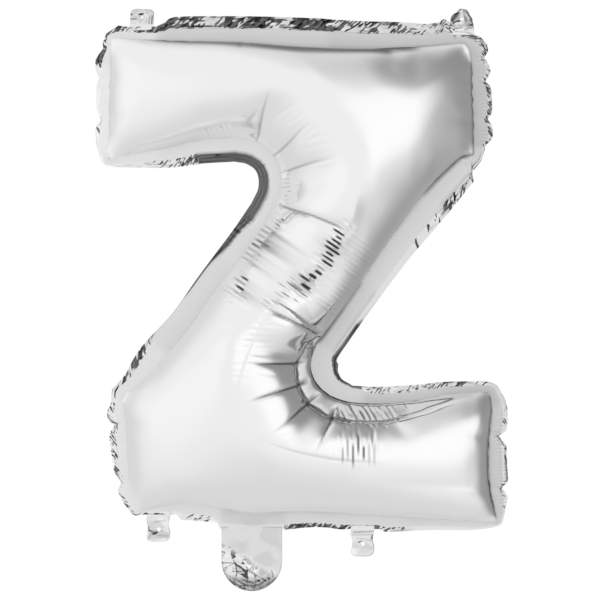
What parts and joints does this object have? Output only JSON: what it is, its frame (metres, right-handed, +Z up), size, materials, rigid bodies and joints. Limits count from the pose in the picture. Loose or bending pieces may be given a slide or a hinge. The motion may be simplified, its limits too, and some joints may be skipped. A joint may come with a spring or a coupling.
{
  "type": "letter foil balloon",
  "caption": "Inflated silver foil balloon in the shape of the letter Z, with a sealed edge, hanging tabs and a filling tail.",
  "frame": {"origin": "the point the balloon hangs from, midway between the eyelets of its two top tabs, in the plane of the seam", "axes": "+Z up the letter, +X to the reader's right, +Y away from the reader, square to the plane of the seam"},
  "size_m": [0.2828, 0.0954, 0.3995],
  "materials": {
    "panel_film": "mirror-bright metallised film, drawn tight and creased",
    "sealed_film": "two metallised films heat-sealed together, satin band with a crinkled bright lip",
    "tab_film": "sealed metallised film, satin",
    "tail_film": "slack metallised film, crumpled and bright",
    "valve_film": "thin film strip, satin"
  },
  "bodies": {
    "envelope": {"front_panel": "panel_film", "back_panel": "panel_film", "flange_top": "sealed_film", "flange_upper_right_end": "sealed_film", "flange_right_slope": "sealed_film", "flange_right_notch": "sealed_film", "flange_lower_arm_top": "sealed_film", "flange_lower_right_end": "sealed_film", "flange_bottom_right": "sealed_film", "filling_neck": "sealed_film", "flange_bottom_left": "sealed_film", "flange_lower_left_end": "sealed_film", "flange_left_slope": "sealed_film", "flange_left_notch": "sealed_film", "flange_upper_arm_underside": "sealed_film", "flange_upper_left_end": "sealed_film"},
    "top_left_tab": {"tab_top_left": "tab_film"},
    "top_right_tab": {"tab_top_right": "tab_film"},
    "bottom_left_tab": {"tab_bottom_left": "tab_film"},
    "bottom_right_tab": {"tab_bottom_right": "tab_film"},
    "tail": {"tail_front_film": "tail_film", "tail_back_film": "tail_film", "valve_film": "valve_film"}
  },
  "joints": [
    {"name": "top_left_tab_fold", "type": "hinge", "parent": "envelope", "child": "top_left_tab", "pos_m": [-0.1085, 0, -0.0042], "axis": [1, 0, 0], "range_deg": [-71, 169], "stiffness_Nm_per_rad": 0.0004},
    {"name": "top_right_tab_fold", "type": "hinge", "parent": "envelope", "child": "top_right_tab", "pos_m": [0.111, 0, -0.0075], "axis": [1, 0, 0], "range_deg": [-87, 153], "stiffness_Nm_per_rad": 0.0004},
    {"name": "bottom_left_tab_fold", "type": "hinge", "parent": "envelope", "child": "bottom_left_tab", "pos_m": [-0.097, 0, -0.3405], "axis": [1, 0, 0], "range_deg": [-120, 120], "stiffness_Nm_per_rad": 0.0004},
    {"name": "bottom_right_tab_fold", "type": "hinge", "parent": "envelope", "child": "bottom_right_tab", "pos_m": [0.0428, 0, -0.3505], "axis": [1, 0, 0], "range_deg": [-120, 120], "stiffness_Nm_per_rad": 0.0004},
    {"name": "tail_fold", "type": "hinge", "parent": "envelope", "child": "tail", "pos_m": [-0.033, 0, -0.3514], "axis": [1, 0, 0], "range_deg": [-120, 120], "stiffness_Nm_per_rad": 0.001}
  ]
}
